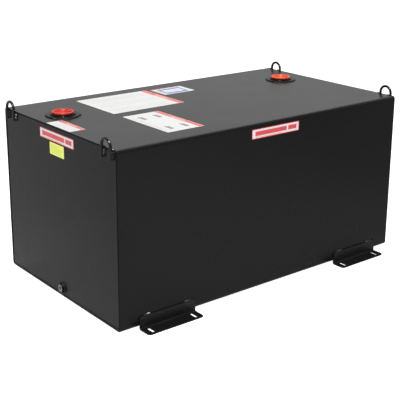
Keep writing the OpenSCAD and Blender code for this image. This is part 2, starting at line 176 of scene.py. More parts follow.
def piece(name, skins, finish, body, replaced=(), sharp=35):
    """One object from closed skins: faces outwards, smooth but for edges over an angle."""
    all_points, faces, start = [], [], 0
    for points, quads in skins:
        whole, triangles = clean_faces(quads)
        middle = points.mean(axis=0)
        if volume(points - middle, whole, triangles) < 0:
            whole, triangles = whole[:, ::-1], triangles[:, ::-1]
        all_points.append(points)
        faces += (whole + start).tolist() + (triangles + start).tolist()
        start += len(points)
    mesh = bpy.data.meshes.new(name)
    mesh.from_pydata(np.concatenate(all_points).tolist(), [], faces)
    mesh.shade_smooth()
    mesh.set_sharp_from_angle(angle=math.radians(sharp))
    mesh.materials.append(finish)
    made = bpy.data.objects.new(name, mesh)
    bpy.context.scene.collection.objects.link(made)
    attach(made, body)
    if replaced:
        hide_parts(*replaced)
    print(f"{name}: {len(mesh.vertices)} points, {len(mesh.polygons)} faces")
    return made


# %% [markdown]
# ## Writing materials
#
# A finish is a small network of nodes that ends in one Principled shader. The helper below
# keeps that network readable: node() adds a node and sets or links its sockets by name, math()
# and mix() do the same for the two nodes that every pattern needs. All patterns read Object
# coordinates. The pieces sit at the origin, so these are the same metres as in the frame, and
# a pattern of 1.5 mm is a noise with a scale of 1 / 1.5 mm.

# %% The Finish helper


class Finish:
    """A material under construction, with its Principled shader ready."""

    def __init__(self, name, **sockets):
        self.material = bpy.data.materials.new(name)
        self.material.use_nodes = True
        self.tree = self.material.node_tree
        self.tree.nodes.clear()
        self.shader = self.node("ShaderNodeBsdfPrincipled")
        output = self.node("ShaderNodeOutputMaterial")
        self.tree.links.new(self.shader.outputs[0], output.inputs["Surface"])
        self.set(**sockets)

    def feed(self, socket, value):
        """Links another node's output to a socket, or writes a number or colour into it."""
        if isinstance(value, bpy.types.NodeSocket):
            self.tree.links.new(value, socket)
        elif hasattr(value, "__len__") and len(value) == 3 and socket.type == "RGBA":
            socket.default_value = (*value, 1.0)
        else:
            socket.default_value = value

    def set(self, **sockets):
        """Feeds the shader's sockets; Base_Color stands for Base Color."""
        for name, value in sockets.items():
            self.feed(self.shader.inputs[name.replace("_", " ")], value)

    def node(self, kind, inputs=None, **settings):
        """A node with its settings, and its inputs from a dictionary of names or numbers."""
        made = self.tree.nodes.new(kind)
        for name, value in settings.items():
            setattr(made, name, value)
        for key, value in (inputs or {}).items():
            self.feed(made.inputs[key], value)
        return made

    def place(self, centre=(0, 0, 0), stretch=(1, 1, 1)):
        """Object coordinates measured from centre, then stretched along the axes."""
        source = self.node("ShaderNodeTexCoord").outputs["Object"]
        offset = tuple(-c * s for c, s in zip(centre, stretch))
        return self.node(
            "ShaderNodeMapping", {"Vector": source, "Location": offset, "Scale": stretch}
        ).outputs["Vector"]

    def noise(self, where, grain, detail=2.0, roughness=0.5):
        """Noise from 0 to 1 with spots of about grain metres."""
        return self.node("ShaderNodeTexNoise", {
            "Vector": where, "Scale": 1 / grain, "Detail": detail, "Roughness": roughness,
        }).outputs[0]

    def math(self, operation, a, b=0.0, clamp=False):
        """One Math node."""
        return self.node(
            "ShaderNodeMath", {0: a, 1: b}, operation=operation, use_clamp=clamp
        ).outputs[0]

    def spread(self, value, low, high):
        """Turns a value from 0 to 1 into one from low to high."""
        return self.node(
            "ShaderNodeMapRange", {"Value": value, "To Min": low, "To Max": high}
        ).outputs[0]

    def mix(self, share, a, b):
        """Colour a where share is 0, colour b where it is 1."""
        return self.node("ShaderNodeMix", {0: share, 6: a, 7: b}, data_type="RGBA").outputs[2]

    def bump(self, heights):
        """Bumps added up, each a pair of height from 0 to 1 and its size in metres."""
        normal = None
        for height, size in heights:
            made = self.node("ShaderNodeBump", {"Height": height, "Distance": size})
            if normal is not None:
                self.feed(made.inputs["Normal"], normal)
            normal = made.outputs[0]
        self.set(Normal=normal)


print("Finish helper ready")

# %% [markdown]
# ## The black paint
#
# The tank is powder coated. The powder melts to a smooth, half glossy film with a fine orange
# peel: soft dimples of one or two millimetres, a few hundredths deep. Seen almost edge on, the
# roof mirrors the white studio and looks mid grey, while the walls, seen more squarely, stay
# nearly black. That comes from the shader's own reflection, so nothing is painted lighter.
# A low index of refraction keeps the walls dark. Slow noise in the roughness stands for the
# way the film runs a little thicker or thinner, and stretched noise for fine rubbing marks.
# On the bent bars and the welds the film is thicker and glossier, so they get a higher index.
# Round the ports it is thin and dull, and the photograph shows them darker than the roof.
# The angles get a paler base tone than the rest of the paint.

# %% Powder coat
PAINT_IOR = 1.20
PEEL_GRAIN = 1.6 * MM
PEEL_HEIGHT = 0.022 * MM
CLOUD_GRAIN = 160 * MM
RUB_STRETCH = (1.0, 9.0, 9.0)


def powder_coat(name, tone, low_rough, high_rough, peel=PEEL_HEIGHT, ior=PAINT_IOR):
    """Black powder coat: orange peel bump, clouded roughness and faint rubbing marks."""
    f = Finish(name, IOR=ior)
    where = f.place()
    cloud = f.noise(where, CLOUD_GRAIN, detail=3.0)
    rubbed = f.noise(f.place(stretch=RUB_STRETCH), 40 * MM, detail=5.0, roughness=0.65)
    film = f.math("ADD", f.math("MULTIPLY", cloud, 0.88), f.math("MULTIPLY", rubbed, 0.12))
    f.set(Roughness=f.spread(film, low_rough, high_rough))
    light = tuple(t * 1.35 for t in tone)
    f.set(Base_Color=f.mix(film, tone, light))
    peel_height = f.noise(where, PEEL_GRAIN, detail=1.5)
    grit = f.noise(where, 0.35 * MM, detail=1.0)
    f.bump([(peel_height, peel), (grit, 0.15 * peel)])
    return f.material


BLACK = (0.0030, 0.0030, 0.0031)
WELD_BLACK = (0.0040, 0.0040, 0.0042)
ANGLE_BLACK = (0.0070, 0.0070, 0.0071)
paint = powder_coat("black_powder_coat", BLACK, 0.22, 0.32)
bar_coat = powder_coat("powder_coat_on_bars", BLACK, 0.14, 0.22, ior=1.28)
weld_coat = powder_coat("powder_coat_over_weld", WELD_BLACK, 0.14, 0.24, 2 * PEEL_HEIGHT, ior=1.30)
edge_coat = powder_coat("powder_coat_on_edges", BLACK, 0.18, 0.28, ior=1.16)
flange_coat = powder_coat("powder_coat_on_flanges", BLACK, 0.24, 0.34, ior=1.165)
ring_coat = powder_coat("powder_coat_on_port_welds", BLACK, 0.20, 0.30, 2 * PEEL_HEIGHT, ior=1.14)
angle_coat = powder_coat("powder_coat_on_angles", ANGLE_BLACK, 0.24, 0.34)
coats = (paint, bar_coat, weld_coat, edge_coat, flange_coat, ring_coat, angle_coat)
print("paint:", [coat.name for coat in coats])

# %% [markdown]
# ## Plastic, rubber and bare steel
#
# The port plugs are injection moulded. Their surface has the fine, even grain of an eroded
# mould, and a little light goes into the plastic and comes out again, so it has some
# subsurface. The pipe plug is bare zinc plated steel: metal with fine turning marks, which
# are rings round its axis, and dull patches in the plating. The gaskets are matt rubber.

# %% Small part finishes
RED = (0.62, 0.040, 0.023)
ORANGE = (0.80, 0.100, 0.026)


def moulded_plastic(name, colour, centre):
    """Moulded plastic: mould grain, faint flow marks out from the gate at the centre."""
    f = Finish(name, Specular_IOR_Level=0.12, Subsurface_Weight=0.12, Subsurface_Scale=0.002)
    f.set(Subsurface_Radius=(1.0, 0.25, 0.1))
    where = f.place(centre)
    flow = f.noise(where, 12 * MM, detail=4.0, roughness=0.6)
    deep = tuple(c * 0.86 for c in colour)
    f.set(Base_Color=f.mix(flow, deep, colour), Roughness=f.spread(flow, 0.34, 0.46))
    grain = f.noise(where, 0.5 * MM, detail=2.0)
    f.bump([(grain, 0.02 * MM)])
    return f.material


def turned_steel(name, centre):
    """Zinc plated steel: rings round the X axis through centre, dull patches in the plating."""
    f = Finish(name, Metallic=1.0)
    where = f.place(centre)
    rings = f.node("ShaderNodeTexWave", {
        "Vector": where, "Scale": 1 / (1.6 * MM) / math.tau, "Distortion": 0.6, "Detail": 2.0,
    }, wave_type="RINGS", rings_direction="X").outputs[1]
    patches = f.noise(where, 4 * MM, detail=5.0, roughness=0.7)
    f.set(Base_Color=f.mix(patches, (0.11, 0.11, 0.115), (0.27, 0.27, 0.28)))
    f.set(Roughness=f.spread(patches, 0.28, 0.5))
    f.bump([(rings, 0.01 * MM), (patches, 0.02 * MM)])
    return f.material


def soft_rubber(name):
    """Matt black rubber with a fine moulded grain and a bloom of paler dust."""
    f = Finish(name, Specular_IOR_Level=0.35)
    where = f.place()
    bloom = f.noise(where, 6 * MM, detail=5.0, roughness=0.7)
    f.set(Base_Color=f.mix(bloom, (0.010, 0.010, 0.010), (0.022, 0.022, 0.021)))
    f.set(Roughness=f.spread(bloom, 0.55, 0.75))
    f.bump([(f.noise(where, 0.6 * MM), 0.04 * MM)])
    return f.material


def middle(node):
    """Middle of a CAD node's box."""
    low, high = corners(node)
    return (low + high) / 2


red_plastic = moulded_plastic("red_plastic", RED, middle("fill_plug"))
orange_plastic = moulded_plastic("orange_plastic", ORANGE, middle("vent_plug"))
zinc_steel = turned_steel("zinc_plated_steel", middle("drain_plug"))
rubber = soft_rubber("gasket_rubber")
print("small part finishes:", red_plastic.name, orange_plastic.name, zinc_steel.name, rubber.name)

# %% [markdown]
# ## The labels
#
# Seven vinyl labels are stuck to the tank. Their places, sizes and fields of colour follow the
# photograph, and nothing is written on them: where a real label carries words, these carry
# plain bars. A field is a rectangle on the label. Its mask compares how far a point is from
# the rectangle's middle with half the rectangle's size, along both directions, and is 1 inside
# and 0 outside. A block of lines repeats that along one direction with the fraction of the
# coordinate over the line pitch, and a random number for each line sets where the line ends.

# %% Label print
PAPER = (0.63, 0.63, 0.62)
LABEL_RED = (0.57, 0.012, 0.025)
ROOF_RED = (0.69, 0.070, 0.054)
PALE_RED = (0.69, 0.28, 0.23)
BAR_RED = (0.57, 0.045, 0.060)
LABEL_BLUE = (0.095, 0.16, 0.47)
PRINT_GREY = (0.32, 0.32, 0.33)
PRINT_DARK = (0.03, 0.03, 0.03)
YELLOW = (0.75, 0.81, 0.142)
YELLOW_PRINT = (0.52, 0.59, 0.06)
SOFT_EDGE = 0.25 * MM


class Label(Finish):
    """A vinyl label. u runs along its reading direction and v up it, from its middle."""

    def __init__(self, name, node, along, up, paper):
        super().__init__(name, Specular_IOR_Level=0.45)
        where = self.place(middle(node))
        axes = self.node("ShaderNodeSeparateXYZ", {0: where}).outputs
        self.u = self.signed(axes, along)
        self.v = self.signed(axes, up)
        low, high = corners(node)
        size = high - low
        self.half_u = size["xyz".index(along[-1])] / 2
        self.half_v = size["xyz".index(up[-1])] / 2
        self.vinyl = self.noise(where, 2.5 * MM, detail=3.0)
        shade = tuple(p * 0.95 for p in paper)
        self.colour = self.mix(self.vinyl, shade, paper)

    def signed(self, axes, direction):
        """The coordinate along a direction such as 'x' or '-y'."""
        value = axes["xyz".index(direction[-1])]
        return self.math("MULTIPLY", value, -1.0) if direction[0] == "-" else value

    def inside(self, value, centre, half):
        """1 where value is within half of centre, 0 beyond, over a soft edge."""
        away = self.math("ABSOLUTE", self.math("SUBTRACT", value, centre))
        return self.node("ShaderNodeMapRange", {
            "Value": away, "From Min": half, "From Max": half + SOFT_EDGE,
            "To Min": 1.0, "To Max": 0.0,
        }).outputs[0]

    def rectangle(self, u, v, half_u, half_v):
        """Mask of a rectangle with its middle at u, v."""
        return self.math("MULTIPLY", self.inside(self.u, u, half_u), self.inside(self.v, v, half_v))

    def field(self, colour, u, v, half_u, half_v):
        """Paints a rectangle."""
        self.colour = self.mix(self.rectangle(u, v, half_u, half_v), self.colour, colour)

    def lines(self, colour, u, v, half_u, half_v, pitch, share=0.42, strength=0.8):
        """Paints a block of bars with ragged right ends, one every pitch metres along v."""
        row = self.math("DIVIDE", self.math("SUBTRACT", self.v, v - half_v), pitch)
        on_line = self.math("LESS_THAN", self.math("FRACT", row), share)
        number = self.math("FLOOR", row)
        random = self.node("ShaderNodeTexWhiteNoise", {"W": number}, noise_dimensions="1D").outputs[0]
        end = self.spread(random, u + 0.35 * half_u, u + half_u)
        before_end = self.math("LESS_THAN", self.u, end)
        block = self.rectangle(u, v, half_u, half_v)
        mask = self.math("MULTIPLY", block, self.math("MULTIPLY", on_line, before_end))
        self.colour = self.mix(self.math("MULTIPLY", mask, strength), self.colour, colour)

    def done(self):
        """Feeds the print to the shader, with the slight waviness of stuck vinyl."""
        self.set(Base_Color=self.colour, Roughness=self.spread(self.vinyl, 0.30, 0.42))
        self.bump([(self.vinyl, 0.02 * MM)])
        return self.material


print("label helper ready")

# %% [markdown]
# ## Print on each label
#
# The two long labels have a red border round white vinyl, with two plain bars where a name
# would stand. The roof labels read from the right end of the tank, so their red strip lies
# along the edge towards +X and their lines run across the tank. The middle one keeps four
# short blocks of lines round an empty centre. The one at the back has a blue frame.

# %% Seven labels


def long_label(name, node, along):
    """White label with a red border, a long and a short bar."""
    print_ = Label(name, node, along, "z", PAPER)
    edge = 2.2 * MM
    w, h = print_.half_u, print_.half_v
    for side in (-1, 1):
        print_.field(LABEL_RED, 0, side * (h - edge / 2), w, edge / 2)
        print_.field(LABEL_RED, side * (w - edge / 2), 0, edge / 2, h)
    print_.field(BAR_RED, -0.20 * w, 0.02 * h, 0.66 * w, 0.44 * h)
    print_.field(BAR_RED, 0.71 * w, 0.02 * h, 0.18 * w, 0.44 * h)
    print_.lines(PALE_RED, -0.20 * w, -0.72 * h, 0.66 * w, 0.10 * h, 0.2 * h, share=0.9)
    return print_.done()


def roof_label(name, node, strip, pale_share):
    """White label with a red strip along its top edge, and a pale bar on the middle of it."""
    print_ = Label(name, node, "y", "x", PAPER)
    margin = 1.5 * MM
    w, h = print_.half_u, print_.half_v
    middle_v = h - margin - strip / 2
    print_.field(ROOF_RED, 0, middle_v, w - margin, strip / 2)
    print_.field(PALE_RED, 0, middle_v, pale_share * w, 0.28 * strip)
    return print_


def large_roof_label():
    """Three columns of fine lines under the strip."""
    print_ = roof_label("large_label_print", "roof_large_label", 21 * MM, 0.30)
    w, h = print_.half_u, print_.half_v
    for column in (-1, 0, 1):
        print_.lines(PRINT_GREY, column * 0.64 * w, -0.04 * h, 0.28 * w, 0.80 * h, 5.2 * MM, strength=0.35)
    return print_.done()


def middle_roof_label():
    """Four short blocks round an empty centre, and two long lines at the foot."""
    print_ = roof_label("middle_label_print", "roof_middle_label", 17 * MM, 0.30)
    w, h = print_.half_u, print_.half_v
    for side in (-1, 1):
        for up in (-0.42, 0.40):
            print_.lines(
                PRINT_DARK, side * 0.58 * w, up * h, 0.19 * w, 0.10 * h, 7 * MM,
                share=0.75, strength=1.0,
            )
    print_.lines(PRINT_GREY, 0, -0.82 * h, 0.85 * w, 0.09 * h, 6 * MM, strength=0.5)
    return print_.done()


def edge_roof_label():
    """Small label: strip with a pale middle, and faint lines."""
    print_ = roof_label("edge_label_print", "roof_edge_label", 14 * MM, 0.42)
    w, h = print_.half_u, print_.half_v
    print_.lines(PRINT_GREY, 0, -0.18 * h, 0.84 * w, 0.62 * h, 5 * MM, strength=0.30)
    return print_.done()


def back_roof_label():
    """White label with a blue frame and a pale red line along two of its edges."""
    print_ = Label("back_label_print", "roof_back_label", "y", "x", PAPER)
    w, h = print_.half_u, print_.half_v
    print_.field(PALE_RED, 0, -0.92 * h, 0.96 * w, 0.05 * h)
    print_.field(PALE_RED, 0.90 * w, 0, 0.06 * w, 0.95 * h)
    print_.field(LABEL_BLUE, -0.06 * w, 0, 0.78 * w, 0.74 * h)
    print_.field(PAPER, -0.06 * w, 0, 0.42 * w, 0.58 * h)
    print_.lines(PRINT_GREY, -0.06 * w, 0, 0.32 * w, 0.46 * h, 7 * MM, strength=0.6)
    return print_.done()


def yellow_print():
    """Yellow label with a block of lines."""
    print_ = Label("yellow_label_print", "yellow_label", "-y", "z", YELLOW)
    w, h = print_.half_u, print_.half_v
    print_.lines(YELLOW_PRINT, -0.02 * w, 0, 0.78 * w, 0.72 * h, 5.5 * MM, share=0.5, strength=0.85)
    return print_.done()


label_prints = {
    "front_label": long_label("front_label_print", "front_label", "x"),
    "end_label": long_label("end_label_print", "end_label", "-y"),
    "yellow_label": yellow_print(),
    "roof_edge_label": edge_roof_label(),
    "roof_large_label": large_roof_label(),
    "roof_middle_label": middle_roof_label(),
    "roof_back_label": back_roof_label(),
}
print("labels:", sorted(label_prints))

# %% [markdown]
# ## Finishes for the CAD nodes that stay
#
# Flat sheets, folded edges, angles, bars and label plates are right as the CAD made them, so
# they keep their meshes and only get a finish.

# %% Assign the finishes
PAINTED = ["shell", "left_head", "right_head", "left_baffle", "right_baffle"]
ANGLES = ["front_left_angle", "front_right_angle", "back_left_angle", "back_right_angle"]
BARS = ["front_left_loop", "front_right_loop", "back_left_loop", "back_right_loop"]


def dress(node, finish):
    """Gives a CAD node one finish."""
    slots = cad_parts[node].data.materials
    slots.clear()
    slots.append(finish)


for node in PAINTED:
    dress(node, paint)
for node in ANGLES:
    dress(node, angle_coat)
for node in BARS:
    dress(node, bar_coat)
dress("seam_weld", weld_coat)
for node, finish in label_prints.items():
    dress(node, finish)
print("dressed", len(PAINTED + ANGLES + BARS) + 1 + len(label_prints), "CAD nodes")

# %% [markdown]
# ## Weld beads
#
# A hand welder lays one small pool of metal over the last, so a bead is a row of overlapping
# scales. It could be made with a texture, but the scales catch the light along their ridges
# and show in the outline, so they are real shape. A bead is a section carried along a path.
# At each point of the path, one direction lies in the first plate, and one in the second.
# Ripples push the bare side of the section outwards by the size of the sine of the length
# over the pitch, and the phase grows towards the toes, which bends each ridge to a crescent.

# %% Bead function
RIPPLE_SAMPLES = 6


def path_length(path, closed):
    """Length along a path up to each point, and in all."""
    last = path[:1] if closed else path[-1:]
    steps = np.linalg.norm(np.diff(np.concatenate([path, last]), axis=0), axis=1)
    along = np.concatenate([[0.0], np.cumsum(steps)])
    return along[:len(path)], along[-1]


def bead(path, toward_a, toward_b, section, push, pitch, ripple, closed, lumps=0.06, phase=0.0):
    """Closed skin of a weld bead. The point of section number j at length s is
    path(s) + size(s) * (a_j * toward_a + b_j * toward_b), where a_j and b_j gain
    push_j * ripple * (|sin(pi * (s / pitch + crescent))| - 0.5). Size wavers slowly along the
    bead, and on an open bead it falls to nothing at both ends, as a quarter circle does."""
    s, total = path_length(path, closed)
    pitch = total / max(1, round(total / pitch))
    across = np.linspace(-1, 1, len(section))
    wave = np.abs(np.sin(np.pi * (s[:, None] / pitch + 0.5 * across[None, :] ** 2))) - 0.5
    turns = 2 * np.pi * s / total
    waver = np.sin(7 * turns + phase) + 0.6 * np.sin(17 * turns + 2 * phase + 1)
    size = 1 + lumps * waver * 0.6
    if not closed:
        reach = 0.8 * np.abs(section).max()
        inner = np.clip(np.minimum(s, total - s) / reach, 0, 1)
        size = size * np.sqrt(1 - (1 - inner) ** 2)
    local = section[None, :, :] + push[None, :, :] * ripple * wave[:, :, None]
    local = local * size[:, None, None]
    grid = (
        path[:, None, :]
        + local[:, :, :1] * toward_a[:, None, :]
        + local[:, :, 1:] * toward_b[:, None, :]
    )
    return skin(grid, closed_rows=closed, closed_columns=True)


def fillet_section(leg, bulge=0.35, bury=0.25 * MM, samples=9):
    """Fillet in the corner of two plates. The bare side lies between the straight line from
    toe to toe and the quarter circle; the corner is buried a little in both plates."""
    angle = np.linspace(0, np.pi / 2, samples)
    flat = 1 / (np.cos(angle) + np.sin(angle))
    radius = leg * (flat * (1 - bulge) + bulge)
    bare = np.stack([radius * np.cos(angle), radius * np.sin(angle)], axis=1)
    toes = np.array([[leg, -bury], [-bury, leg]])
    section = np.concatenate([toes[:1], bare, toes[1:], [[-bury, -bury]]])
    push = np.zeros_like(section)
    push[1:-2] = np.stack([np.cos(angle), np.sin(angle)], axis=1) * np.sin(2 * angle)[:, None] ** 0.5
    return section, push


def crown_section(half, height, lean, bury=0.8 * MM, samples=13):
    """Low crown over a butt joint: height * (1 - (a / half) squared) to the power 0.8. Its top
    is pushed inwards by the share lean of the half width, so most of it slopes outwards."""
    a = np.linspace(half, -half, samples)
    rise = height * np.clip(1 - (a / half) ** 2, 0, 1) ** 0.8
    bare = np.stack([a - lean * half * rise / height, rise], axis=1)
    section = np.concatenate([[[half, -bury]], bare, [[-half, -bury]]])
    push = np.zeros_like(section)
    push[1:-1, 1] = (rise / height) ** 0.5
    return section, push


print("bead sections:", len(fillet_section(4 * MM)[0]), len(crown_section(2 * MM, 1 * MM, 0.3)[0]))

# %% [markdown]
# ## Welds round the heads
#
# Each head is welded to the shell along its whole edge. The weld is a wide, low crown. Its
# outer side slopes up to the sky, so it shows as a dark band between roof and head, as in the
# photograph. It follows a rectangle with round corners. Along a straight side the corner's
# centre moves and the angle stays, and round a corner the angle turns and the centre stays. So
# both are linear between nine knots, and one interpolation gives all points with their outward
# directions.

# %% Head welds
SHELL_INNER_RADIUS = 9.1 * MM
SHEET = 1.9 * MM
HEAD_BEAD_HALF = 4.3 * MM
HEAD_BEAD_HEIGHT = 1.9 * MM
HEAD_BEAD_LEAN = 0.35
HEAD_BEAD_INSET = 2.6 * MM
HEAD_PITCH = 4.6 * MM


def rounded_ring(width, height, radius, step):
    """Points along a rectangle with round corners, and their outward directions, in 2D."""
    w, h, quarter = width - 2 * radius, height - 2 * radius, radius * np.pi / 2
    knots = np.cumsum([0, h, quarter, w, quarter, h, quarter, w, quarter])
    centre_u = np.array([1, 1, 1, -1, -1, -1, -1, 1, 1]) * w / 2
    centre_v = np.array([-1, 1, 1, 1, 1, -1, -1, -1, -1]) * h / 2
    turn = np.array([0, 0, 1, 1, 2, 2, 3, 3, 4]) * np.pi / 2
    count = int(round(knots[-1] / step))
    s = np.arange(count) * knots[-1] / count
    u, v, angle = (np.interp(s, knots, k) for k in (centre_u, centre_v, turn))
    outward = np.stack([np.cos(angle), np.sin(angle)], axis=1)
    return np.stack([u, v], axis=1) + radius * outward, outward


def head_bead(side):
    """Crown bead round one head. The ring's two directions are Y and Z."""
    inset = SHEET + HEAD_BEAD_INSET
    ring, outward = rounded_ring(
        2 * HALF_WIDTH - 2 * inset, ROOF - UNDERSIDE - 2 * inset,
        SHELL_INNER_RADIUS - HEAD_BEAD_INSET, HEAD_PITCH / RIPPLE_SAMPLES,
    )
    ends = np.full((len(ring), 1), side * RIGHT_FACE)
    path = np.hstack([ends, ring + [0, (ROOF + UNDERSIDE) / 2]])
    toward_a = np.hstack([0 * ends, outward])
    toward_b = np.tile([side, 0.0, 0.0], (len(ring), 1))
    section, push = crown_section(HEAD_BEAD_HALF, HEAD_BEAD_HEIGHT, HEAD_BEAD_LEAN)
    return bead(path, toward_a, toward_b, section, push, HEAD_PITCH, 0.45 * MM, True, 0.10, side)


for side, name in ((-1, "left_head_weld"), (1, "right_head_weld")):
    piece(name + "_bead", [head_bead(side)], edge_coat, "tank", [name])

# %% [markdown]
# ## Welds round the flanges and the drain boss
#
# These are fillets on a circle. The first plate is the roof or the head, and the second is the
# side of the disc or boss. The fill port's weld is the lumpiest one in the photograph, so its
# size wavers most.

# %% Round welds
FLANGE_LEG = 3.3 * MM
BOSS_LEG = 3.1 * MM
FLANGE_PITCH = 4.4 * MM
BOSS_PITCH = 3.2 * MM


def circle(centre, radius, u, v, step):
    """Points and outward directions on a circle in the plane of u and v."""
    count = int(round(2 * np.pi * radius / step))
    angle = 2 * np.pi * np.arange(count) / count
    outward = np.cos(angle)[:, None] * np.array(u, float) + np.sin(angle)[:, None] * np.array(v, float)
    return np.array(centre) + radius * outward, outward


def round_bead(centre, radius, u, v, axis, leg, pitch, lumps, phase):
    """Fillet bead between a face and a disc that stands on it along axis."""
    path, outward = circle(centre, radius, u, v, pitch / RIPPLE_SAMPLES)
    toward_b = np.tile(np.array(axis, float), (len(path), 1))
    section, push = fillet_section(leg)
    return bead(path, outward, toward_b, section, push, pitch, 0.7 * MM, True, lumps, phase)


X, Y, Z = np.eye(3)
port_centres = {}
flange_radius = (corners("fill_flange")[1] - corners("fill_flange")[0])[0] / 2
for port, lumps in (("fill", 0.32), ("vent", 0.07)):
    centre = middle(port + "_flange")
    centre[2] = ROOF
    port_centres[port] = centre
    ring = round_bead(centre, flange_radius, X, Y, Z, FLANGE_LEG, FLANGE_PITCH, lumps, lumps * 40)
    piece(port + "_flange_weld_bead", [ring], ring_coat, "tank", [port + "_flange_weld"])

drain_centre = middle("drain_boss")
drain_centre[0] = LEFT_FACE
boss_radius = (corners("drain_boss")[1] - corners("drain_boss")[0])[1] / 2
ring = round_bead(drain_centre, boss_radius, Y, Z, -X, BOSS_LEG, BOSS_PITCH, 0.08, 2.0)
piece("drain_boss_weld_bead", [ring], weld_coat, "tank", ["drain_boss_weld"])

# %% [markdown]
# ## Short welds at the loops and angles
#
# A loop's leg is a round bar against a flat head, so the weld beside it runs from the head up
# to the widest point of the bar. Its section is a triangle with a hollow for the bar, and the
# part under the bar is buried. Where a leg crosses the edge of the roof, the welder stopped and
# left a blob along the edge. The angles have two short fillets each on their top edge.

# %% Straight welds
LOOP_TOE = 8.6 * MM
LOOP_LEG_GAP = 2.0 * MM
BAR_RADIUS = 4.75 * MM
STITCH_LEG = 4.0 * MM
STITCH_INSET = 14 * MM
STITCH_LENGTH = 30 * MM
SHORT_PITCH = 3.8 * MM
BLOB_REACH = 11 * MM
BLOB_DEPTH = 0.8 * MM
BLOB_PITCH = 7.0 * MM


def straight(start, end, step):
    """Evenly spaced points on a line."""
    start, end = np.array(start, float), np.array(end, float)
    count = int(round(np.linalg.norm(end - start) / step)) + 1
    return start + np.linspace(0, 1, count)[:, None] * (end - start)


def loop_section(samples=8):
    """Weld beside a bar: from the toe on the head, over a slight bulge, to the bar's side."""
    t = np.linspace(0, 1, samples)[:, None]
    toe, top = np.array([[LOOP_TOE, 0.0]]), np.array([[BAR_RADIUS - 0.3 * MM, BAR_RADIUS]])
    bulge = 0.5 * MM * np.sin(np.pi * t) * np.array([[0.76, 0.65]])
    bare = toe + t * (top - toe) + bulge
    buried = np.array([[1.5 * MM, BAR_RADIUS], [1.5 * MM, -0.25 * MM], [LOOP_TOE, -0.25 * MM]])
    section = np.concatenate([bare, buried])
    push = np.zeros_like(section)
    push[:samples] = np.sin(np.pi * t) ** 0.5 * np.array([[0.76, 0.65]])
    return section, push


def loop_beads(side):
    """The eight beads at the loops of one end: two loops, two legs, two sides of each."""
    section, push = loop_section()
    name = {-1: "left", 1: "right"}[side]
    skins = []
    for place in ("front", "back"):
        low, high = corners(f"{place}_{name}_loop")
        bottom = low[2] + LOOP_LEG_GAP
        top = corners(f"{name}_loop_welds")[1][2]
        for leg in (low[1] + BAR_RADIUS, high[1] - BAR_RADIUS):
            for flank in (-1, 1):
                path = straight(
                    (side * RIGHT_FACE, leg, bottom), (side * RIGHT_FACE, leg, top),
                    SHORT_PITCH / RIPPLE_SAMPLES,
                )
                toward_a = np.tile(flank * Y, (len(path), 1))
                toward_b = np.tile(side * X, (len(path), 1))
                skins.append(bead(
                    path, toward_a, toward_b, section, push, SHORT_PITCH, 0.6 * MM, False,
                    0.05, leg * 50 + flank,
                ))
    return skins


def edge_blobs(side):
    """A lumpy bead along the edge of the roof at each leg, its crown halfway between side and up."""
    name = {-1: "left", 1: "right"}[side]
    section, push = crown_section(3.4 * MM, 2.4 * MM, 0.0)
    skins = []
    for place in ("front", "back"):
        low, high = corners(f"{place}_{name}_loop")
        for leg in (low[1] + BAR_RADIUS, high[1] - BAR_RADIUS):
            at = np.array([side * (RIGHT_FACE - BLOB_DEPTH), leg, ROOF - BLOB_DEPTH])
            path = straight(at - BLOB_REACH * Y, at + BLOB_REACH * Y, SHORT_PITCH / RIPPLE_SAMPLES)
            toward_a = np.tile((Z - side * X) / math.sqrt(2), (len(path), 1))
            toward_b = np.tile((Z + side * X) / math.sqrt(2), (len(path), 1))
            skins.append(bead(
                path, toward_a, toward_b, section, push, BLOB_PITCH, 1.0 * MM, False,
                0.25, leg * 70 + side,
            ))
    return skins


def stitch_beads(place):
    """The four short beads on the angles of one side."""
    side = {"front": -1, "back": 1}[place]
    section, push = fillet_section(STITCH_LEG)
    skins = []
    for end in ("left", "right"):
        low, high = corners(f"{place}_{end}_angle")
        for start, step in ((low[0] + STITCH_INSET, 1), (high[0] - STITCH_INSET, -1)):
            path = straight(
                (start, side * HALF_WIDTH, high[2]),
                (start + step * STITCH_LENGTH, side * HALF_WIDTH, high[2]),
                SHORT_PITCH / RIPPLE_SAMPLES,
            )
            toward_a = np.tile(side * Y, (len(path), 1))
            toward_b = np.tile(Z, (len(path), 1))
            skins.append(bead(
                path, toward_a, toward_b, section, push, SHORT_PITCH, 0.6 * MM, False,
                0.08, start * 30,
            ))
    return skins


for side, name in ((-1, "left"), (1, "right")):
    piece(name + "_loop_weld_beads", loop_beads(side) + edge_blobs(side), weld_coat, "tank",
          [name + "_loop_welds"])
for place in ("front", "back"):
    piece(place + "_angle_weld_beads", stitch_beads(place), weld_coat, "tank",
          [place + "_angle_welds"])

# %% [markdown]
# ## Turned parts and threads
#
# Plugs, flanges and the drain boss are turned or moulded round an axis. Each starts as a
# profile of radius and height, a line with its corners rounded, and is spun round. A thread is
# added where the profile is a straight side: the radius there loses a wave that runs along the
# axis with the thread's pitch and slips by one pitch in each turn, which makes it a helix.

# %% Profiles, spinning and threads
TURN_STEPS = 192


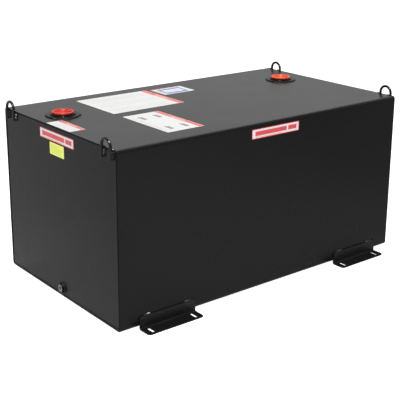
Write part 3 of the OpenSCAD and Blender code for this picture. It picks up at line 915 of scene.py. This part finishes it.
def rounded_profile(points, arc_steps=5):
    """Polyline with its corners rounded. Each point is radius, height and corner radius; a
    corner becomes a curve between the two points where its circle touches the sides."""
    out = []
    for k, (r, z, corner) in enumerate(points):
        here = np.array([r, z], float)
        if corner == 0 or k in (0, len(points) - 1):
            out.append(here)
            continue
        before, after = (np.array(points[j][:2], float) - here for j in (k - 1, k + 1))
        before, after = before / np.linalg.norm(before), after / np.linalg.norm(after)
        half = np.arccos(np.clip(before @ after, -1, 1)) / 2
        middle_way = (before + after) / np.linalg.norm(before + after)
        centre = here + middle_way * corner / np.sin(half)
        start = here + before * corner / np.tan(half) - centre
        end = here + after * corner / np.tan(half) - centre
        t = np.linspace(0, 1, arc_steps + 1)[:, None]
        arc = start * (1 - t) + end * t
        arc *= corner / np.linalg.norm(arc, axis=1, keepdims=True)
        out += list(centre + arc)
    return np.array(out)


def thread_side(radius, start, end, pitch):
    """Dense points along a straight threaded side, ten for each turn of the thread."""
    count = int(abs(end - start) / pitch * 10)
    z = np.linspace(start, end, count)
    return np.stack([np.full(count, radius), z], axis=1)


def thread_wave(z, angle, pitch, start, end):
    """0 on the crest and 1 in the root of a thread, faded in over one pitch at both ends."""
    turn = np.mod(z / pitch - angle / (2 * np.pi), 1)
    groove = np.clip((1 - np.abs(2 * turn - 1) - 0.15) / 0.7, 0, 1)
    low, high = min(start, end), max(start, end)
    fade = np.clip((z - low) / pitch, 0, 1) * np.clip((high - z) / pitch, 0, 1)
    return groove * fade


def spun(profile, origin, u, v, axis, threads=(), loop=False, shape=None):
    """Skin of a profile spun round an axis. threads holds (first, last, depth, pitch): the
    points from first to last get a thread that cuts depth into the radius. shape may change
    the whole array of radii, as for a six-sided socket."""
    angle = 2 * np.pi * np.arange(TURN_STEPS) / TURN_STEPS
    radius = np.tile(profile[:, 0], (TURN_STEPS, 1))
    height = profile[:, 1]
    for first, last, depth, pitch in threads:
        z = height[first:last]
        wave = thread_wave(z[None, :], angle[:, None], pitch, z[0], z[-1])
        radius[:, first:last] -= depth * wave
    if shape is not None:
        radius = shape(radius, angle)
    round_ = np.cos(angle)[:, None] * np.array(u, float) + np.sin(angle)[:, None] * np.array(v, float)
    grid = (
        np.array(origin, float)
        + radius[:, :, None] * round_[:, None, :]
        + height[None, :, None] * np.array(axis, float)
    )
    return skin(grid, closed_rows=True, closed_columns=loop)


print("a 2 inch thread has", round(19.5 / 2.209, 1), "turns on the plug")

# %% [markdown]
# ## Port flanges and gaskets
#
# A flange is a turned disc with a raised hub, and a spigot that passes through the roof. Its
# bore carries the thread, which shows when a plug is out. The gasket is a flat rubber ring,
# pressed a little outwards by the plug.

# %% Flanges and gaskets
BORE_RADIUS = 30.3 * MM
BORE_PITCH = 2.209 * MM
BORE_THREAD = 1.1 * MM
SPIGOT_RADIUS = 38 * MM
FLANGE_BEVEL = 1.0 * MM
HUB_RADIUS = 44 * MM
HUB_HEIGHT = 3.5 * MM


def flange_skin(centre, low, high):
    """Closed profile: bore with thread, top of the hub, disc, side, underside, spigot."""
    top, bottom = high[2] - ROOF, low[2] - ROOF
    thread = thread_side(BORE_RADIUS, bottom + 1.2 * MM, top - 1.6 * MM, BORE_PITCH)
    rest = rounded_profile([
        (BORE_RADIUS, top - 1.4 * MM, 0),
        (BORE_RADIUS + 1.5 * MM, top, 0.3 * MM),
        (HUB_RADIUS, top, 0.8 * MM),
        (HUB_RADIUS, top - HUB_HEIGHT, 0.6 * MM),
        (flange_radius - FLANGE_BEVEL, top - HUB_HEIGHT, 0.4 * MM),
        (flange_radius, top - HUB_HEIGHT - FLANGE_BEVEL, 0.4 * MM),
        (flange_radius, -0.1 * MM, 0.1 * MM),
        (SPIGOT_RADIUS, -0.1 * MM, 0),
        (SPIGOT_RADIUS, bottom, 0.5 * MM),
        (BORE_RADIUS + 1.0 * MM, bottom, 0.2 * MM),
        (BORE_RADIUS, bottom + 1.0 * MM, 0),
    ])
    profile = np.concatenate([thread, rest])
    threads = [(0, len(thread), -BORE_THREAD, BORE_PITCH)]
    return spun(profile, centre, X, Y, Z, threads, loop=True)


def gasket_skin(centre, low, high):
    """Flat ring with a rounded outer edge that bulges past the CAD ring by 0.2 mm."""
    inner, outer = BORE_RADIUS, (high[0] - low[0]) / 2
    top, bottom = high[2] - ROOF, low[2] - ROOF
    edge = np.linspace(-np.pi / 2, np.pi / 2, 9)
    half = (top - bottom) / 2
    rim = np.stack([
        outer - 0.5 * half + 0.6 * half * np.cos(edge),
        (top + bottom) / 2 + half * np.sin(edge),
    ], axis=1)
    inside = np.array([[inner, top], [inner, bottom]])
    return spun(np.concatenate([rim, inside]), centre, X, Y, Z, loop=True)


for port, centre in port_centres.items():
    flange = flange_skin(centre, *corners(port + "_flange"))
    piece(port + "_flange_turned", [flange], flange_coat, "tank", [port + "_flange"])
    gasket = gasket_skin(centre, *corners(port + "_gasket"))
    piece(port + "_gasket_ring", [gasket], rubber, port + "_plug", [port + "_gasket"])

# %% [markdown]
# ## Port plugs
#
# The plugs are the only colour on the roof but for the labels. A plug is a round head with a
# deep dish, a threaded hollow shank below it, and two lugs in the dish that a spanner turns.
# The dish keeps the mark of the gate where the plastic went in. The lugs are blocks whose
# outline is a rectangle with round corners. It shrinks with the height, first by the draft of
# the mould and then along a quarter circle at the top.

# %% Plugs
CREST = 29.95 * MM
PLUG_THREAD = 1.35 * MM
SHANK_LENGTH = 23 * MM
PLUG_WALL = 4 * MM
HEAD_THICK = 5 * MM
DISH_MOUTH = 30 * MM
DISH_FLOOR = 27 * MM
DISH_DEPTH = 8 * MM
DISH_SHEET = 2.5 * MM
LUG_FROM = 19 * MM
LUG_TO = 28 * MM
LUG_WIDTH = 9 * MM
LUG_TOP = 3 * MM


def block_skin(centre, length, width, corner, bottom, top, draft, round_top):
    """Block with a rounded outline along X and Y. Rings of (inset, height) go up its sides,
    and the first and last ring shrink to a point, which closes it."""
    ring, outward = rounded_ring(length, width, corner, 0.35 * MM)
    bend = np.linspace(0, np.pi / 2, 6)
    inset = np.concatenate([[0.0], draft + round_top * (1 - np.cos(bend))])
    height = np.concatenate([[bottom], top - round_top * (1 - np.sin(bend))])
    inset_ring = ring[:, None, :] - outward[:, None, :] * inset[None, :, None]
    walls = np.concatenate([inset_ring, np.tile(height[:, None], (len(ring), 1, 1))], axis=2)
    foot = np.tile([0.0, 0.0, bottom], (len(ring), 1, 1))
    cap = np.tile([0.0, 0.0, top], (len(ring), 1, 1))
    return skin(np.array(centre) + np.concatenate([foot, walls, cap], axis=1))


def plug_skins(centre, low, high):
    """Head, dish, threaded shank and two lugs. Heights are measured from under the head."""
    head_radius = (high[0] - low[0]) / 2
    under = high[2] - HEAD_THICK
    floor = HEAD_THICK - DISH_DEPTH
    top = rounded_profile([
        (0, floor + 0.4 * MM, 0),
        (2.2 * MM, floor + 0.4 * MM, 0.2 * MM),
        (2.6 * MM, floor, 0.2 * MM),
        (DISH_FLOOR, floor, 1.2 * MM),
        (DISH_MOUTH, HEAD_THICK, 0.8 * MM),
        (head_radius, HEAD_THICK, 2.0 * MM),
        (head_radius, 0, 0.5 * MM),
        (CREST - PLUG_THREAD, 0, 0.3 * MM),
        (CREST - PLUG_THREAD, -1.5 * MM, 0),
        (CREST, -2.2 * MM, 0),
    ], arc_steps=7)
    thread = thread_side(CREST, -2.3 * MM, 1.6 * MM - SHANK_LENGTH, BORE_PITCH)
    inner = CREST - PLUG_WALL
    ceiling = floor - DISH_SHEET
    bottom = rounded_profile([
        (CREST, 1.5 * MM - SHANK_LENGTH, 0),
        (CREST - 1.5 * MM, -SHANK_LENGTH, 0.3 * MM),
        (inner, -SHANK_LENGTH, 0.5 * MM),
        (inner, ceiling, 1.5 * MM),
        (0, ceiling, 0),
    ])
    profile = np.concatenate([top, thread, bottom])
    threads = [(len(top), len(top) + len(thread), PLUG_THREAD, BORE_PITCH)]
    origin = np.array([centre[0], centre[1], under])
    skins = [spun(profile, origin, X, Y, Z, threads)]
    for s in (-1, 1):
        at = origin + [s * (LUG_FROM + LUG_TO) / 2, 0, 0]
        skins.append(block_skin(
            at, LUG_TO - LUG_FROM, LUG_WIDTH, 1.6 * MM, floor - 1 * MM, LUG_TOP, 0.4 * MM, 0.8 * MM
        ))
    return skins


for port, plastic, slot in (("fill", red_plastic, "red_plastic"), ("vent", orange_plastic, "orange_plastic")):
    skins = plug_skins(port_centres[port], *corners(port + "_plug"))
    piece(port + "_plug_moulded", skins, plastic, port + "_plug", [port + "_plug"])

# %% [markdown]
# ## Drain boss and drain plug
#
# The boss is half a pipe coupling, with a thread right through. The plug in it has a tapered
# looking start, a thread, and a six-sided socket for a key. The socket's wall is not round:
# its distance from the axis is half the width across flats over the cosine of the angle from
# the nearest flat, so only the columns of the grid that belong to the socket are reshaped.

# %% Drain
DRAIN_BORE = 13.3 * MM
DRAIN_CREST = 13.0 * MM
DRAIN_PITCH = 1.814 * MM
DRAIN_THREAD = 1.1 * MM
SOCKET_FLATS = 12.7 * MM
SOCKET_DEPTH = 9 * MM


def boss_skin(low, high):
    """Closed profile of the boss. Heights run out from the head's face, along -X."""
    outer_end, inner_end = LEFT_FACE - low[0], LEFT_FACE - high[0]
    thread = thread_side(DRAIN_BORE, inner_end + 1.0 * MM, outer_end - 1.3 * MM, DRAIN_PITCH)
    rest = rounded_profile([
        (DRAIN_BORE, outer_end - 1.1 * MM, 0),
        (DRAIN_BORE + 1.1 * MM, outer_end, 0.2 * MM),
        (boss_radius - 1.2 * MM, outer_end, 0.4 * MM),
        (boss_radius, outer_end - 1.2 * MM, 0.4 * MM),
        (boss_radius, inner_end, 0.4 * MM),
        (DRAIN_BORE + 0.8 * MM, inner_end, 0.2 * MM),
        (DRAIN_BORE, inner_end + 0.8 * MM, 0),
    ])
    profile = np.concatenate([thread, rest])
    threads = [(0, len(thread), -DRAIN_THREAD, DRAIN_PITCH)]
    return spun(profile, drain_centre, Y, Z, -X, threads, loop=True)


def drain_plug_skin(low, high):
    """Plug with a thread and a six-sided socket, from its inner end to the socket's floor."""
    outer_end, inner_end = LEFT_FACE - low[0], LEFT_FACE - high[0]
    start = rounded_profile([
        (0, inner_end, 0),
        (DRAIN_CREST - 1.6 * MM, inner_end, 0.2 * MM),
        (DRAIN_CREST, inner_end + 1.6 * MM, 0),
    ])
    thread = thread_side(DRAIN_CREST, inner_end + 1.7 * MM, outer_end - 1.1 * MM, DRAIN_PITCH)
    socket = SOCKET_FLATS / 2
    face = rounded_profile([
        (DRAIN_CREST, outer_end - 1.0 * MM, 0),
        (DRAIN_CREST - 1.0 * MM, outer_end, 0.3 * MM),
        (socket + 1.7 * MM, outer_end, 0.2 * MM),
    ])
    hexagon = np.array([
        [socket, outer_end - 0.6 * MM],
        [socket, outer_end - 0.9 * MM],
        [socket, outer_end - SOCKET_DEPTH + 0.3 * MM],
        [socket - 0.3 * MM, outer_end - SOCKET_DEPTH],
    ])
    floor = np.array([[0, outer_end - SOCKET_DEPTH - 1.2 * MM]])
    profile = np.concatenate([start, thread, face, hexagon, floor])
    first = len(profile) - len(hexagon) - len(floor)

    def six_sided(radius, angle):
        flat = np.mod(angle + np.pi / 6, np.pi / 3) - np.pi / 6
        radius[:, first:-1] /= np.cos(flat)[:, None]
        return radius

    threads = [(len(start), len(start) + len(thread), DRAIN_THREAD, DRAIN_PITCH)]
    return spun(profile, drain_centre, Y, Z, -X, threads, shape=six_sided)


piece("drain_boss_turned", [boss_skin(*corners("drain_boss"))], paint, "tank", ["drain_boss"])
piece("drain_plug_threaded", [drain_plug_skin(*corners("drain_plug"))], zinc_steel, "drain_plug",
      ["drain_plug"])

# %% [markdown]
# ## Floor and light
#
# The photograph has a pure white background and very soft light from all round, with no shadow
# under the tank. So the floor is a light box: it is pale and glows a little. The sky is darker
# near the horizon, which the far end of the roof mirrors, so that the roof keeps one tone along
# its length. The floor falls off to the left and to the right. The left head and the front wall
# mirror these parts, and that keeps them as dark as in the photograph. The camera's own rays
# see a plain white floor and sky, so the background is white from all sides.
#
# A soft lamp washes the floor beside the right head, where the tank takes part of the sky away.
# A small lamp over the front left is the main light. A second one beside it only shows where
# glossy paint mirrors it: it puts the glints on the welds and the bent bars.

# %% Floor and light
FLOOR_RADIUS = 30.0
WHITE_FLOOR = (0.88, 0.88, 0.88)
FLOOR_GLOW = 0.46
FALLS = [
    ((0.94, 0.34, 0.0), -0.30, 0.95, 0.38),
    ((-0.75, 0.66, 0.0), 0.30, 1.30, 0.64),
]
SKY_LOW = 0.48
SKY_HIGH = 1.19
SKY_RISE = (0.170, 0.2555)


def add_floor():
    """Flat disc just under the tank, as rings of a grid. Its light falls off along each
    direction of FALLS, between two distances from the middle. The camera sees it white."""
    angle = 2 * np.pi * np.arange(96) / 96
    radius = np.array([0.0, 1.0, 3.0, 8.0, FLOOR_RADIUS])
    grid = np.stack([
        radius[None, :] * np.cos(angle)[:, None],
        radius[None, :] * np.sin(angle)[:, None],
        np.full((96, len(radius)), -0.2 * MM),
    ], axis=2)
    points, quads = skin(grid)
    whole, triangles = clean_faces(quads)
    mesh = bpy.data.meshes.new("floor")
    mesh.from_pydata(points.tolist(), [], whole.tolist() + triangles.tolist())
    f = Finish("studio_floor", Roughness=0.9, Specular_IOR_Level=0.1)
    where = f.place()
    light = 1.0
    for direction, start, end, least in FALLS:
        away = f.node("ShaderNodeVectorMath", {0: where, 1: direction}, operation="DOT_PRODUCT")
        fall = f.node("ShaderNodeMapRange", {
            "Value": away.outputs["Value"], "From Min": start, "From Max": end,
            "To Min": 1.0, "To Max": least,
        }).outputs[0]
        light = f.math("MULTIPLY", fall, light)
    cloud = f.noise(where, 0.4, detail=2.0)
    pale = f.mix(cloud, WHITE_FLOOR, tuple(c * 0.99 for c in WHITE_FLOOR))
    f.set(Base_Color=f.mix(light, (0, 0, 0), pale))
    seen = f.node("ShaderNodeLightPath").outputs["Is Camera Ray"]
    glow = f.math("MAXIMUM", seen, f.math("MULTIPLY", light, FLOOR_GLOW))
    f.set(Emission_Color=(1.0, 1.0, 1.0), Emission_Strength=glow)
    mesh.materials.append(f.material)
    floor = bpy.data.objects.new("floor", mesh)
    bpy.context.scene.collection.objects.link(floor)
    return floor


def add_sky():
    """White light from all round. Its strength grows with the height of the direction, but for
    the camera's own rays it is as strong everywhere."""
    world = bpy.data.worlds.new("studio")
    world.use_nodes = True
    tree = world.node_tree
    background = tree.nodes["Background"]
    background.inputs["Color"].default_value = (1.0, 1.0, 1.0, 1.0)
    direction = tree.nodes.new("ShaderNodeTexCoord").outputs["Generated"]
    axes = tree.nodes.new("ShaderNodeSeparateXYZ")
    strength = tree.nodes.new("ShaderNodeMapRange")
    for name, value in zip(("From Min", "From Max", "To Min", "To Max"), (*SKY_RISE, SKY_LOW, SKY_HIGH)):
        strength.inputs[name].default_value = value
    tree.links.new(direction, axes.inputs[0])
    tree.links.new(axes.outputs["Z"], strength.inputs["Value"])
    seen = tree.nodes.new("ShaderNodeLightPath").outputs["Is Camera Ray"]
    brighter = tree.nodes.new("ShaderNodeMath")
    brighter.operation = "MAXIMUM"
    tree.links.new(strength.outputs[0], brighter.inputs[0])
    tree.links.new(seen, brighter.inputs[1])
    tree.links.new(brighter.outputs[0], background.inputs["Strength"])
    bpy.context.scene.world = world


def add_lamp(name, at, aim, size, watts, only_gloss=False):
    """Square lamp that points from at to aim and isn't seen itself."""
    data = bpy.data.lights.new(name, "AREA")
    data.size = size
    data.energy = watts
    lamp = bpy.data.objects.new(name, data)
    bpy.context.scene.collection.objects.link(lamp)
    back = np.array(at, float) - np.array(aim, float)
    back /= np.linalg.norm(back)
    side = np.cross([0, 1, 0] if abs(back[2]) > 0.9 else [0, 0, 1], back)
    side /= np.linalg.norm(side)
    matrix = np.eye(4)
    matrix[:3, :3] = np.column_stack([side, np.cross(back, side), back])
    matrix[:3, 3] = at
    lamp.matrix_world = Matrix(matrix.tolist())
    lamp.visible_camera = False
    lamp.visible_diffuse = not only_gloss
    return lamp


add_floor()
add_sky()
add_lamp("key", (-1.4, -1.7, 3.2), (-0.3, -0.1, 0.5), 0.22, 15)
add_lamp("right_floor_wash", (1.6, 0.4, 2.6), (1.4, 0.3, 0), 1.6, 25)
add_lamp("glints", (-1.5, -1.6, 3.3), (-0.4, -0.2, 0.5), 0.6, 700, only_gloss=True)
bpy.context.scene.view_settings.view_transform = "Standard"
print("floor, sky and three lamps")
